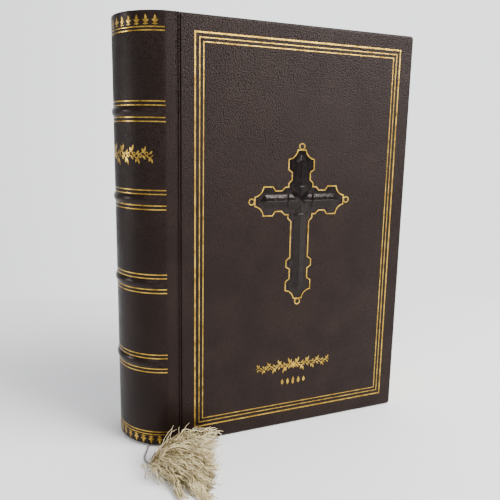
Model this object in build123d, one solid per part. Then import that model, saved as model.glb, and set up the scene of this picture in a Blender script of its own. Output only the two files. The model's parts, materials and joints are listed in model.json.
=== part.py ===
from build123d import *
from build123d.topology.shape_core import SkipClean
import math
import os

# Leather-bound prayer book, closed and standing upright on the tail edges of its two boards.
# Millimetres. Front cover faces -Y, rounded spine faces -X, head of the book is +Z.
# Most pieces are drawn with x = 0 on the hinge lines and y = 0 midway between the covers;
# save() then moves them so that the origin lies under the middle of the book.

# Driving dimensions
BOARD_HEIGHT = 185.0
BOARD_REACH = 115.5         # hinge line to fore-edge, leather included
THICKNESS = 42.0            # outer face to outer face
SHOULDER_WIDTH = 5.0        # flat strip of leather between hinge line and rounded spine
SPINE_ROUND = 16.5          # how far the rounded spine stands out from the shoulders
SQUARE = 3.3                # how far the covers overhang the leaves

# Covers
BOARD_THICKNESS = 2.4
OUTER_SKIN = 0.8            # leather over the outer face and the edges of a board
TURN_IN_THICKNESS = 0.3     # pared leather folded on to the inner face
TURN_IN_WIDTH = 12.0
CORNER_RADIUS = 1.5
OUTER_EDGE_RADIUS = 1.2
INNER_EDGE_RADIUS = 0.25
HINGE_SIDE_RADIUS = 0.6
COVER_THICKNESS = OUTER_SKIN + BOARD_THICKNESS + TURN_IN_THICKNESS
HALF = THICKNESS / 2.0

# Hinge grooves
GROOVE_RADIUS = 0.5         # hollow of the joint leather, centred on the hinge line
JOINT_LEATHER = 0.4
JOINT_OUTER = GROOVE_RADIUS + JOINT_LEATHER
COVER_START = 1.0           # hinge line to the near edge of a cover
EDGE_TOLERANCE = 0.1

# Spine
TAIL_LIFT = 1.0             # the spine leather stops short of the surface the boards stand on
HEAD_DROP = 0.1             # and just below the head of the boards
SPINE_LEATHER = 0.9
INLAY = 0.8
HOLLOW = 0.6
LINING = 0.4
SPINE_RADIUS = (HALF ** 2 + SPINE_ROUND ** 2) / (2.0 * SPINE_ROUND)
SPINE_CENTRE_X = SPINE_RADIUS - SHOULDER_WIDTH - SPINE_ROUND
SPINE_HALF_ANGLE = math.degrees(math.asin(HALF / SPINE_RADIUS))
SPINE_BOTTOM = TAIL_LIFT
SPINE_TOP = BOARD_HEIGHT - HEAD_DROP
INLAY_BOTTOM = SPINE_BOTTOM + 1.2
INLAY_TOP = SPINE_TOP - 2.1
INLAY_HALF_ANGLE = 62.0

# Raised bands on the spine
BAND_COUNT = 4
FIRST_BAND_Z = 39.3
BAND_PITCH = 35.7
BAND_WIDTH = 3.8
BAND_HEIGHT = 0.65
BAND_HALF_ANGLE = 66.0
CORE_WIDTH = 3.0
CORE_HEIGHT = 0.5

# Gilt tooling, laid in shallow grooves flush with the leather
GILT_DEPTH = 0.12
SPINE_LINE_WIDTH = 0.45
BAND_LINE_OFFSETS = (-4.0, -2.4, 2.4, 4.0)
HEAD_LINES = (178.6, 177.3)
TAIL_LINES = (7.2, 5.9)
FRAME_LEFT = 7.1            # hinge line to the outermost gilt line
FRAME_RIGHT = 108.4
FRAME_BOTTOM = 7.0
FRAME_TOP = 178.3
FRAME_INSETS = (0.0, 2.05, 3.75)
FRAME_WIDTHS = (0.6, 0.4, 0.4)

# Cross in the middle of the front cover, sizes from its centre
CROSS_X = (FRAME_LEFT + FRAME_RIGHT) / 2.0
CROSS_Z = 109.0
NECK_HALF = 4.85            # half width of the shaft and arms
BRACKET_HALF = 6.7          # half width of the brackets at their ends
LEDGE_HALF = 2.3            # half width of the tip
BRACKET_SLOPE = 1.3         # run of the slanting edge between neck and bracket
BRACKET_IN = 13.9
BRACKET_OUT = 18.8
TIP = 22.95
FOOT_BRACKET_IN = 37.4
FOOT_BRACKET_OUT = 42.0
FOOT_TIP = 46.1
MID_BRACKET = (26.0, 27.4, 30.6, 31.8)
STEP_NEAR = 6.45
STEP_FAR = 8.0
CORNER_END = 9.6
SWEEP_SAG = 1.1             # hollow of the curve from bracket to tip
OUTLINE_WIDTH = 0.5
LOOP_RADIUS = 1.55
RECESS_DEPTH = 0.5          # the leather inside the outline is pressed in this far
PANEL_THICKNESS = 0.15
RELIEF_MARGIN = 1.75
RELIEF_STEP = 0.2
RELIEF_PROUD = 0.4          # ridge above the cover
ROOF_HALF = 2.9
ROOF_SHOULDER_HALF = 1.5
ROOF_RIDGE_HALF = 0.12
ROOF_SHOULDER_DROP = 0.25
ROOF_TOP = 20.6
ROOF_SIDE = 20.6
ROOF_FOOT = 42.6

# Text block
SIGNATURE_COUNT = 20
BLOCK_HALF = 16.55          # half thickness between the covers
BLOCK_SHOULDER_HALF = 19.2  # half thickness where the folds swell at the spine
FORE_EDGE_HOLLOW = 5.0
FOLD_BULGE = 0.4
FLARE_START = 1.5
LEAF_THICKNESS = 0.3
FLYLEAF_HINGE = (1.6, 17.2)     # hinge lines of the free leaves: x, and distance from mid-thickness
INNER_LEAF_HINGE = (2.3, 16.8)
TAPE_COUNT = 4
TAPE_HEIGHT = 10.0
TAPE_THICKNESS = 0.2
TAPE_SPACING = 42.0
ENDBAND_RADIUS = 0.8
ENDBAND_HALF_ANGLE = 66.0

# Bookmark: a silk cord down the middle of the book, and a tassel on its free end
CORD_DIAMETER = 0.8
CORD_HALF = CORD_DIAMETER / 2.0
CORD_GROOVE_RADIUS = 0.45
BOOKMARK_X = -55.0          # in the frame of the finished book
TASSEL_HEAD_RADIUS = 2.8
CORD_END_CLEARANCE = 2.2    # room in the tassel's skirt for the end of the cord
INNER_RUN_SHORT = 1.0       # the cord between the leaves stops this far from their head

BLOCK_BOTTOM = SQUARE
BLOCK_TOP = BOARD_HEIGHT - SQUARE
BLOCK_FORE_EDGE = BOARD_REACH - SQUARE
BLOCK_APEX = SHOULDER_WIDTH + SPINE_ROUND - SPINE_LEATHER - INLAY - HOLLOW - LINING
BLOCK_SHOULDER_X = 4.3
BLOCK_SAGITTA = BLOCK_APEX - BLOCK_SHOULDER_X
BLOCK_RADIUS = (BLOCK_SHOULDER_HALF ** 2 + BLOCK_SAGITTA ** 2) / (2.0 * BLOCK_SAGITTA)
BLOCK_CENTRE_X = BLOCK_RADIUS - BLOCK_APEX
LINING_HALF_ANGLE = 72.0
LINING_CLEARANCE = 0.05
LINING_SHORT = 3.0          # the lining stops this far from head and tail of the leaves

# Where the hinge lines and the middle plane lie in the frame of the finished book
HINGE_X = (SHOULDER_WIDTH + SPINE_ROUND + BAND_HEIGHT - BOARD_REACH) / 2.0
MIDDLE_Y = RELIEF_PROUD / 2.0


def save(shape, name, placed=False):
    """Write one piece, moved to the frame of the finished book unless it is drawn there."""
    if not placed:
        shape = Pos(HINGE_X, MIDDLE_Y, 0) * shape
    shape.label = name
    export_step(shape, "parts/" + name + ".step")


def to_back(shape):
    """The mirror image of a front piece, for the back of the book."""
    return mirror(shape, about=Plane.XZ)


def rect(left, bottom, right, top):
    return Pos((left + right) / 2.0, (bottom + top) / 2.0) * Rectangle(right - left, top - bottom)


def front_layer(sketch, outer, inner):
    """A sketch in (x, z) given thickness between two distances from the middle plane."""
    plane = Plane(origin=(0, -inner, 0), x_dir=(1, 0, 0), z_dir=(0, -1, 0))
    return extrude(plane * sketch, amount=outer - inner)


def turn_profile(profile, centre_x, start_angle, end_angle):
    """Carry a profile, drawn as (radius, z), round the spine; the middle of the spine is at 0."""
    plane = Plane(origin=(centre_x, 0, 0), x_dir=(-1, 0, 0), z_dir=(0, 1, 0))
    axis = Axis((centre_x, 0, 0), (0, 0, 1))
    start = (plane * profile).rotate(axis, start_angle)
    return revolve(start, axis=axis, revolution_arc=end_angle - start_angle)


def round_spine(profile, centre_x, half_angle):
    return turn_profile(profile, centre_x, -half_angle, half_angle)


def band_heights():
    return [FIRST_BAND_Z + BAND_PITCH * number for number in range(BAND_COUNT)]


def dome(radius, z, width, height):
    """Profile of a low rounded rib standing on a cylinder of the given radius."""
    low = (radius, z - width / 2.0)
    high = (radius, z + width / 2.0)
    crown = (radius + height, z)
    return make_face([ThreePointArc(low, crown, high), Line(high, low)])


# Covers

def cover_envelope():
    """Outside of the front cover with its rounded corners and edges."""
    outline = rect(COVER_START, 0.0, BOARD_REACH, BOARD_HEIGHT)
    slab = front_layer(outline, HALF, HALF - COVER_THICKNESS)
    corners = slab.edges().filter_by(Axis.Y).sort_by(Axis.X)[-2:]
    slab = fillet(corners, CORNER_RADIUS)
    outer_edges = slab.faces().sort_by(Axis.Y)[0].edges()
    free_edges = [edge for edge in outer_edges if edge.center().X > COVER_START + EDGE_TOLERANCE]
    slab = fillet(free_edges, OUTER_EDGE_RADIUS)
    hinge_edge = slab.faces().sort_by(Axis.Y)[0].edges().sort_by(Axis.X)[0]
    slab = chamfer(hinge_edge, HINGE_SIDE_RADIUS)
    inner_edges = slab.faces().sort_by(Axis.Y)[-1].edges()
    return fillet(inner_edges, INNER_EDGE_RADIUS)


def board():
    outline = rect(
        COVER_START + OUTER_SKIN,
        OUTER_SKIN,
        BOARD_REACH - OUTER_SKIN,
        BOARD_HEIGHT - OUTER_SKIN,
    )
    return front_layer(outline, HALF - OUTER_SKIN, HALF - OUTER_SKIN - BOARD_THICKNESS)


def pastedown():
    """Paper inside the cover, level with the turned-in leather."""
    outline = rect(
        COVER_START + OUTER_SKIN,
        TURN_IN_WIDTH,
        BOARD_REACH - TURN_IN_WIDTH,
        BOARD_HEIGHT - TURN_IN_WIDTH,
    )
    return front_layer(outline, HALF - COVER_THICKNESS + TURN_IN_THICKNESS, HALF - COVER_THICKNESS)


def frame_line(inset, width):
    left = FRAME_LEFT + inset
    bottom = FRAME_BOTTOM + inset
    right = FRAME_RIGHT - inset
    top = FRAME_TOP - inset
    inside = rect(left + width, bottom + width, right - width, top - width)
    return front_layer(rect(left, bottom, right, top) - inside, HALF, HALF - GILT_DEPTH)


def gilt_frames():
    return [frame_line(inset, width) for inset, width in zip(FRAME_INSETS, FRAME_WIDTHS)]


# Cross

def crossing_corner():
    """Stepped corner between the upright and an arm, in the quarter where both grow."""
    return [
        (NECK_HALF, CORNER_END),
        (STEP_NEAR, STEP_FAR),
        (STEP_NEAR, STEP_NEAR),
        (STEP_FAR, STEP_NEAR),
        (CORNER_END, NECK_HALF),
    ]


def arm_side(bracket_in, bracket_out, tip):
    """One side of an arm as (distance along, half width), from the neck to the tip."""
    return [
        (bracket_in - BRACKET_SLOPE, NECK_HALF),
        (bracket_in, BRACKET_HALF),
        (bracket_out, BRACKET_HALF),
        (tip, LEDGE_HALF),
    ]


def right_half_outline():
    """Right side of the cross as (x, z) from the top tip down to the foot."""
    upper = [(half, along) for along, half in reversed(arm_side(BRACKET_IN, BRACKET_OUT, TIP))]
    side = arm_side(BRACKET_IN, BRACKET_OUT, TIP)
    side_above = [(along, half) for along, half in side]
    side_below = [(along, -half) for along, half in reversed(side)]
    corner_below = [(x, -z) for x, z in reversed(crossing_corner())]
    start, low, high, end = MID_BRACKET
    middle = [(NECK_HALF, -start), (BRACKET_HALF, -low), (BRACKET_HALF, -high), (NECK_HALF, -end)]
    foot = arm_side(FOOT_BRACKET_IN, FOOT_BRACKET_OUT, FOOT_TIP)
    foot_side = [(half, -along) for along, half in foot]
    return upper + crossing_corner() + side_above + side_below + corner_below + middle + foot_side


def is_sweep(first, second):
    """True where the outline runs between a bracket and a tip, which is a hollow curve."""
    first_sizes = [abs(size) for size in first]
    second_sizes = [abs(size) for size in second]
    to_tip = BRACKET_HALF in first_sizes and LEDGE_HALF in second_sizes
    from_tip = LEDGE_HALF in first_sizes and BRACKET_HALF in second_sizes
    return to_tip or from_tip


def cross_face(curved=True):
    """Outline of the whole cross as a face in (x, z), about its own centre."""
    right = right_half_outline()
    left = [(-x, z) for x, z in reversed(right)]
    points = right + left
    edges = []
    for first, second in zip(points, points[1:] + points[:1]):
        if curved and is_sweep(first, second):
            middle_x = (first[0] + second[0]) / 2.0
            middle_z = (first[1] + second[1]) / 2.0
            toward = SWEEP_SAG / math.sqrt(2.0)
            hollow = (
                middle_x - math.copysign(toward, middle_x),
                middle_z - math.copysign(toward, middle_z),
            )
            edges.append(ThreePointArc(first, hollow, second))
        else:
            edges.append(Line(first, second))
    return make_face(edges)


def loop_centres():
    gap = LOOP_RADIUS - OUTLINE_WIDTH / 2.0
    return [(0.0, TIP + gap), (TIP + gap, 0.0), (-TIP - gap, 0.0), (0.0, -FOOT_TIP - gap)]


def cross_outline_face():
    """Gilt line round the cross, with a small loop at each tip."""
    outer = cross_face()
    line = outer - offset(outer, amount=-OUTLINE_WIDTH, kind=Kind.INTERSECTION)
    for x, z in loop_centres():
        line += Pos(x, z) * Circle(LOOP_RADIUS)
    for x, z in loop_centres():
        line -= Pos(x, z) * Circle(LOOP_RADIUS - OUTLINE_WIDTH)
    return line


def recess_face():
    """The region inside the gilt line."""
    return offset(cross_face(), amount=-OUTLINE_WIDTH, kind=Kind.INTERSECTION)


def pointed_cross(half, inset):
    """Cross of straight bars with pointed ends; inset draws the points in as the bars narrow."""
    drop = inset * (math.sqrt(2.0) - 1.0)
    top = ROOF_TOP - drop - inset
    side = ROOF_SIDE - drop - inset
    foot = ROOF_FOOT - drop - inset
    right = [
        (0.0, top),
        (half, top - half),
        (half, half),
        (side - half, half),
        (side, 0.0),
        (side - half, -half),
        (half, -half),
        (half, half - foot),
        (0.0, -foot),
    ]
    left = [(-x, z) for x, z in reversed(right[1:-1])]
    return Face(Wire.make_polygon(right + left, close=True))


def cross_relief():
    """Stepped panel pressed into the cover, with a bevelled roof along upright and arms."""
    bed = HALF - RECESS_DEPTH
    panel_top = bed + PANEL_THICKNESS
    step_top = panel_top + RELIEF_STEP
    ridge = HALF + RELIEF_PROUD
    shoulder = ridge - ROOF_SHOULDER_DROP
    panel = front_layer(recess_face(), panel_top, bed)
    step_outline = offset(cross_face(curved=False), amount=-RELIEF_MARGIN, kind=Kind.INTERSECTION)
    step = front_layer(step_outline, step_top, panel_top)
    sections = []
    levels = ((ROOF_HALF, step_top), (ROOF_SHOULDER_HALF, shoulder), (ROOF_RIDGE_HALF, ridge))
    for half, height in levels:
        plane = Plane(origin=(0, -height, 0), x_dir=(1, 0, 0), z_dir=(0, -1, 0))
        sections.append(plane * pointed_cross(half, ROOF_HALF - half))
    bevel = loft(sections[:2], ruled=True)
    roof = loft(sections[1:], ruled=True)
    return Pos(CROSS_X, 0, CROSS_Z) * (panel + step + bevel + roof)


def cross_outline():
    return Pos(CROSS_X, 0, CROSS_Z) * front_layer(cross_outline_face(), HALF, HALF - GILT_DEPTH)


def cross_recess():
    return Pos(CROSS_X, 0, CROSS_Z) * front_layer(recess_face(), HALF + RECESS_DEPTH, HALF - RECESS_DEPTH)


def cover_leather():
    leather = cover_envelope() - board() - pastedown()
    for line in gilt_frames():
        leather -= line
    return leather


# Spine

def joint_leather():
    """Hollow strip of leather that the front cover folds about."""
    ring = Circle(JOINT_OUTER) - Circle(GROOVE_RADIUS)
    trough = (Pos(0, -HALF) * ring) & rect(-JOINT_OUTER, -HALF, JOINT_OUTER, 0.0)
    return Pos(0, 0, SPINE_BOTTOM) * extrude(trough, amount=SPINE_TOP - SPINE_BOTTOM)


def gilt_line_profiles():
    heights = list(HEAD_LINES) + list(TAIL_LINES)
    for centre in band_heights():
        heights += [centre + offset_z for offset_z in BAND_LINE_OFFSETS]
    half = SPINE_LINE_WIDTH / 2.0
    return [rect(SPINE_RADIUS - GILT_DEPTH, z - half, SPINE_RADIUS, z + half) for z in sorted(heights)]


def spine_gilt_lines():
    profiles = gilt_line_profiles()
    return [round_spine(profile, SPINE_CENTRE_X, SPINE_HALF_ANGLE) for profile in profiles]


def core_profiles():
    inner = SPINE_RADIUS - SPINE_LEATHER
    return [dome(inner, z, CORE_WIDTH, CORE_HEIGHT) for z in band_heights()]


def band_cores():
    return [round_spine(profile, SPINE_CENTRE_X, BAND_HALF_ANGLE) for profile in core_profiles()]


def leather_profile():
    """Section of the leather beside the raised bands, grooved for the gilt lines."""
    profile = rect(SPINE_RADIUS - SPINE_LEATHER, SPINE_BOTTOM, SPINE_RADIUS, SPINE_TOP)
    for line in gilt_line_profiles():
        profile -= line
    return profile


def banded_profile():
    """Section of the leather over the raised bands and their cores."""
    profile = leather_profile()
    for z in band_heights():
        profile += dome(SPINE_RADIUS, z, BAND_WIDTH, BAND_HEIGHT)
    for core in core_profiles():
        profile -= core
    return profile


def shoulder_strip():
    """Flat leather between the rounded spine and the front hinge groove."""
    end = math.radians(SPINE_HALF_ANGLE)
    inner = SPINE_RADIUS - SPINE_LEATHER
    inner_x = SPINE_CENTRE_X - inner * math.cos(end)
    inner_y = -inner * math.sin(end)
    outline = Wire.make_polygon([
        (-SHOULDER_WIDTH, -HALF),
        (-JOINT_OUTER, -HALF),
        (-JOINT_OUTER, inner_y),
        (inner_x, inner_y),
    ])
    return Pos(0, 0, SPINE_BOTTOM) * extrude(Face(outline), amount=SPINE_TOP - SPINE_BOTTOM)


def spine_leather():
    """One skin from groove to groove; its stretches meet at flat joins that stay as separate faces."""
    plain = leather_profile()
    with SkipClean():
        leather = turn_profile(banded_profile(), SPINE_CENTRE_X, -BAND_HALF_ANGLE, BAND_HALF_ANGLE)
        leather += turn_profile(plain, SPINE_CENTRE_X, -SPINE_HALF_ANGLE, -BAND_HALF_ANGLE)
        leather += turn_profile(plain, SPINE_CENTRE_X, BAND_HALF_ANGLE, SPINE_HALF_ANGLE)
        leather += shoulder_strip()
        leather += to_back(shoulder_strip())
    return leather


def spine_inlay():
    outer = SPINE_RADIUS - SPINE_LEATHER
    profile = rect(outer - INLAY, INLAY_BOTTOM, outer, INLAY_TOP)
    return round_spine(profile, SPINE_CENTRE_X, INLAY_HALF_ANGLE)


def tape_bottoms():
    middle = BOARD_HEIGHT / 2.0
    places = [number - (TAPE_COUNT - 1) / 2.0 for number in range(TAPE_COUNT)]
    return [middle + place * TAPE_SPACING - TAPE_HEIGHT / 2.0 for place in places]


def sewing_tapes():
    inner = BLOCK_RADIUS + LINING_CLEARANCE
    profiles = [rect(inner, low, inner + TAPE_THICKNESS, low + TAPE_HEIGHT) for low in tape_bottoms()]
    return [round_spine(profile, BLOCK_CENTRE_X, LINING_HALF_ANGLE) for profile in profiles]


def spine_lining():
    """Cloth glued over the folds, with a shallow channel over each tape."""
    inner = BLOCK_RADIUS + LINING_CLEARANCE
    profile = rect(inner, BLOCK_BOTTOM + LINING_SHORT, inner + LINING, BLOCK_TOP - LINING_SHORT)
    for low in tape_bottoms():
        profile -= rect(inner - LINING, low, inner + TAPE_THICKNESS, low + TAPE_HEIGHT)
    return round_spine(profile, BLOCK_CENTRE_X, LINING_HALF_ANGLE)


def endband(z):
    """Sewn silk roll at the end of the spine; z is the height of its middle."""
    radius = BLOCK_RADIUS - ENDBAND_RADIUS
    return round_spine(Pos(radius, z) * Circle(ENDBAND_RADIUS), BLOCK_CENTRE_X, ENDBAND_HALF_ANGLE)


# Text block

def block_boundary(share):
    """Edge between two signatures: share runs from -1 at the front to 1 at the back."""
    radius = BLOCK_RADIUS - FOLD_BULGE
    spine_y = BLOCK_SHOULDER_HALF * share * radius / BLOCK_RADIUS
    spine_x = BLOCK_CENTRE_X - math.sqrt(radius ** 2 - spine_y ** 2)
    fore_x = BLOCK_FORE_EDGE - FORE_EDGE_HOLLOW * (1.0 - share ** 2)
    return [(fore_x, BLOCK_HALF * share), (FLARE_START, BLOCK_HALF * share), (spine_x, spine_y)]


def fold_crest(share):
    y = BLOCK_SHOULDER_HALF * share
    return (BLOCK_CENTRE_X - math.sqrt(BLOCK_RADIUS ** 2 - y ** 2), y)


def signature(number):
    """One folded gathering of leaves, with a rounded fold at the spine."""
    first_share = 2.0 * number / SIGNATURE_COUNT - 1.0
    last_share = 2.0 * (number + 1) / SIGNATURE_COUNT - 1.0
    first = block_boundary(first_share)
    last = block_boundary(last_share)
    crest = fold_crest((first_share + last_share) / 2.0)
    outline = make_face([
        Line(first[0], first[1]),
        Line(first[1], first[2]),
        ThreePointArc(first[2], crest, last[2]),
        Line(last[2], last[1]),
        Line(last[1], last[0]),
        Line(last[0], first[0]),
    ])
    gathering = Pos(0, 0, BLOCK_BOTTOM) * extrude(outline, amount=BLOCK_TOP - BLOCK_BOTTOM)
    if number in (SIGNATURE_COUNT // 2 - 1, SIGNATURE_COUNT // 2):
        groove = Pos(BOOKMARK_X - HINGE_X, 0, 0)
        gathering -= groove * extrude(Circle(CORD_GROOVE_RADIUS), amount=BOARD_HEIGHT)
    return gathering


def free_leaf(hinge):
    """Single leaf beside the front cover, rounded about its own hinge line."""
    hinge_x, distance = hinge
    half = LEAF_THICKNESS / 2.0
    outline = Pos(hinge_x, -distance) * Circle(half)
    outline += rect(hinge_x, -distance - half, BLOCK_FORE_EDGE, -distance + half)
    return Pos(0, 0, BLOCK_BOTTOM) * extrude(outline, amount=BLOCK_TOP - BLOCK_BOTTOM)


# Bookmark, drawn in the frame of the finished book

CORD_ROUTE = [
    (BOOKMARK_X, MIDDLE_Y, BLOCK_BOTTOM),
    (BOOKMARK_X, MIDDLE_Y, 0.4),
    (-56.1, -5.0, 0.4),
    (-58.0, -13.2, 0.4),
    (-61.0, -20.2, 0.4),
    (-63.9, -26.0, 0.4),
    (-64.1, -31.0, 0.5),
    (-61.5, -35.6, 1.6),
]
TASSEL_HEAD = (-60.3, -37.6, TASSEL_HEAD_RADIUS)
FAN_BASE = [
    (-61.5, -36.0),
    (-62.6, -42.0),
    (-60.6, -50.5),
    (-56.2, -60.5),
    (-48.6, -67.5),
    (-44.0, -62.0),
    (-40.6, -53.5),
    (-35.6, -44.5),
    (-32.6, -34.5),
    (-33.2, -28.0),
    (-41.0, -27.2),
    (-50.0, -27.6),
    (-57.4, -31.4),
]
FAN_LAYERS = ((0.0, 1.0), (5.0, 0.9), (10.0, 0.45))
FAN_CROWN = (-47.5, -35.5)  # the fan is highest here, beside the front cover


def cord_radii(points):
    """Arc at each corner: 0.45 of the shorter run over the tangent of half the turn."""
    radii = []
    for before, corner, after in zip(points, points[1:], points[2:]):
        arriving = Vector(*corner) - Vector(*before)
        leaving = Vector(*after) - Vector(*corner)
        turn = math.radians(arriving.get_angle(leaving))
        shorter = min(arriving.length, leaving.length)
        radii.append(0.45 * shorter / math.tan(turn / 2.0))
    return radii


def bookmark_cord():
    """Free stretch of the cord, from the tail of the leaves to the tassel."""
    path = FilletPolyline(*CORD_ROUTE, radius=cord_radii(CORD_ROUTE))
    start = Plane(origin=CORD_ROUTE[0], z_dir=path % 0.0)
    cord = sweep(start * Circle(CORD_HALF), path=path)
    section = math.pi * CORD_HALF ** 2
    print("bookmark cord radii", [round(radius, 1) for radius in cord_radii(CORD_ROUTE)])
    print("bookmark cord length", round(path.length, 2), "volume", round(cord.volume, 2))
    print("section times length", round(section * path.length, 2))
    return cord


def inner_bookmark():
    """Stretch of the cord between the middle leaves, from the headband to the tail."""
    length = BLOCK_TOP - BLOCK_BOTTOM - INNER_RUN_SHORT
    return Pos(BOOKMARK_X, MIDDLE_Y, BLOCK_BOTTOM) * extrude(Circle(CORD_HALF), amount=length)


def tassel_head():
    return Pos(*TASSEL_HEAD) * Sphere(TASSEL_HEAD_RADIUS)


def tassel_skirt():
    """Fan of silk threads lying on the surface in front of the spine."""
    sections = []
    for height, scale in FAN_LAYERS:
        outline = [
            (FAN_CROWN[0] + (x - FAN_CROWN[0]) * scale, FAN_CROWN[1] + (y - FAN_CROWN[1]) * scale)
            for x, y in FAN_BASE
        ]
        sections.append(Pos(0, 0, height) * Face(Wire.make_polygon(outline, close=True)))
    fan = loft(sections[:2], ruled=True) + loft(sections[1:], ruled=True)
    return fan - tassel_head() - bookmark_cord_clearance()


def bookmark_cord_clearance():
    """Room for the end of the cord beside the head of the tassel."""
    return Pos(*CORD_ROUTE[-1]) * Sphere(CORD_END_CLEARANCE)


os.makedirs("parts", exist_ok=True)

front_leather = cover_leather()
save(to_back(front_leather), "back_cover_leather")
save(front_leather - cross_outline() - cross_recess(), "front_cover_leather")
save(board(), "front_board")
save(to_back(board()), "back_board")
save(pastedown(), "front_pastedown")
save(to_back(pastedown()), "back_pastedown")
save(Compound(gilt_frames()), "front_gilt_frames")
save(Compound([to_back(line) for line in gilt_frames()]), "back_gilt_frames")
save(cross_outline(), "cross_gilt_outline")
save(cross_relief(), "cross_relief")

save(joint_leather(), "front_joint_leather")
save(to_back(joint_leather()), "back_joint_leather")
save(spine_leather(), "spine_leather")
save(Compound(spine_gilt_lines()), "spine_gilt_lines")
save(Compound(band_cores()), "raised_band_cores")
save(spine_inlay(), "spine_inlay")
save(spine_lining(), "spine_lining")
save(Compound(sewing_tapes()), "sewing_tapes")
save(endband(BLOCK_TOP + ENDBAND_RADIUS), "head_band")
save(endband(BLOCK_BOTTOM - ENDBAND_RADIUS), "tail_band")

for number in range(SIGNATURE_COUNT):
    save(signature(number), "signature_%02d" % (number + 1))
save(free_leaf(FLYLEAF_HINGE), "front_flyleaf")
save(free_leaf(INNER_LEAF_HINGE), "title_leaf")
save(to_back(free_leaf(INNER_LEAF_HINGE)), "last_leaf")
save(to_back(free_leaf(FLYLEAF_HINGE)), "back_flyleaf")

save(inner_bookmark(), "bookmark_inner_run", placed=True)
save(bookmark_cord(), "bookmark_cord", placed=True)
save(tassel_head(), "tassel_head", placed=True)
save(tassel_skirt(), "tassel_skirt", placed=True)
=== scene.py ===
"""Leather prayer book standing closed, with a silk bookmark whose tassel lies in front of the spine."""

import json
import math
import random

import bmesh
import bpy
from mathutils import Matrix, Vector, noise


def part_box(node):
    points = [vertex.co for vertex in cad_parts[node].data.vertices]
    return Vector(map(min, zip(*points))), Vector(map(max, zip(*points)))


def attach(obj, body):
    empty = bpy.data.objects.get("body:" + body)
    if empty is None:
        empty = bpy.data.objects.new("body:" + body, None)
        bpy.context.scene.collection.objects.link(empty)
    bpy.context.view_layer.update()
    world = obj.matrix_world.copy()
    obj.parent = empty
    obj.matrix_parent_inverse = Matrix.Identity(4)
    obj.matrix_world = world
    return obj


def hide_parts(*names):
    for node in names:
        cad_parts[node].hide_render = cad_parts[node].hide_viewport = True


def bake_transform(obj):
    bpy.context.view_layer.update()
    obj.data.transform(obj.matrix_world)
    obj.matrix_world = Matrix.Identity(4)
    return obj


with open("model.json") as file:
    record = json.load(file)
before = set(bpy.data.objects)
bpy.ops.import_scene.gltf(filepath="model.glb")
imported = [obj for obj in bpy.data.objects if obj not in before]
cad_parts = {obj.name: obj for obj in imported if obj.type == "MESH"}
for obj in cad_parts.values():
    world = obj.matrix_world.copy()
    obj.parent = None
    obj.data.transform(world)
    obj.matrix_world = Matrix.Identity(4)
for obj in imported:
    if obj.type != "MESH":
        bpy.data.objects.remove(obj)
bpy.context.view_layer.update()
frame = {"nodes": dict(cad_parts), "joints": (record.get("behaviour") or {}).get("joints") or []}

MM = 0.001

# The book's own sizes in millimetres, read from the frame
HINGES = {joint["name"]: Vector(joint["pos_m"]) / MM for joint in frame["joints"]}
FRONT_HINGE = HINGES["front_cover_hinge"]
BACK_HINGE = HINGES["back_cover_hinge"]
HINGE_X = FRONT_HINGE.x
MIDDLE_Y = (FRONT_HINGE.y + BACK_HINGE.y) / 2.0
HALF = (BACK_HINGE.y - FRONT_HINGE.y) / 2.0
SPINE_LOW, SPINE_HIGH = [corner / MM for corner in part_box("spine_leather")]
SPINE_BOTTOM = SPINE_LOW.z
SPINE_TOP = SPINE_HIGH.z
JOINT_LOW, JOINT_HIGH = [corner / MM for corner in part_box("front_joint_leather")]
JOINT_OUTER = (JOINT_HIGH.x - JOINT_LOW.x) / 2.0
JOINT_THICKNESS = 0.4
GROOVE_RADIUS = JOINT_OUTER - JOINT_THICKNESS

# Spine in plan: a round back between two flat shoulders
SHOULDER_WIDTH = 5.0
BAND_HEIGHT = 0.65
SPINE_ROUND = HINGE_X - SPINE_LOW.x - SHOULDER_WIDTH - BAND_HEIGHT
SPINE_RADIUS = (HALF ** 2 + SPINE_ROUND ** 2) / (2.0 * SPINE_ROUND)
SPINE_CENTRE_X = HINGE_X + SPINE_RADIUS - SHOULDER_WIDTH - SPINE_ROUND
ARC_END = SPINE_RADIUS * math.asin(HALF / SPINE_RADIUS)
STRIP_END = ARC_END + SHOULDER_WIDTH - JOINT_OUTER
SKIN_OVERLAP = 0.2
SKIN_END = STRIP_END + SKIN_OVERLAP
SPINE_LEATHER = 0.9

# Raised bands and gilt lines of the spine
BAND_COUNT = 4
FIRST_BAND = 39.3
BAND_PITCH = 35.7
BAND_HEIGHTS = [FIRST_BAND + BAND_PITCH * number for number in range(BAND_COUNT)]
BAND_HALF = 1.95
CORE_HALF = 1.5
CORE_HEIGHT = 0.5
BAND_FADE = (24.6, 27.6)
CREASE_DEPTH = 0.06
CREASE_WIDTH = 0.22
EDGE_ROUND = 0.45
EDGE_COLUMNS = 4
LINE_WIDTH = 0.45
LINE_SLOPE = 0.15
BAND_LINES = (-4.0, -2.4, 2.4, 4.0)
HEAD_LINES = (178.6, 177.3)
TAIL_LINES = (7.2, 5.9)
TOOL_DEPTH = 0.10
TOOLED_END = ARC_END + 0.2

# Spacing of the spine's mesh, close where the leather is worked, and what is rubbed flat there
FINE_ROW = 0.13
PLAIN_ROW = 1.1
COLUMN_STEP = 0.6
RUBBED_BY_BAND = (BAND_HALF, BAND_HALF + 2.3)
RUBBED_BY_LINE = (0.3, 0.8)
RUBBED_AT_END = (5.5, 7.0)

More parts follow.
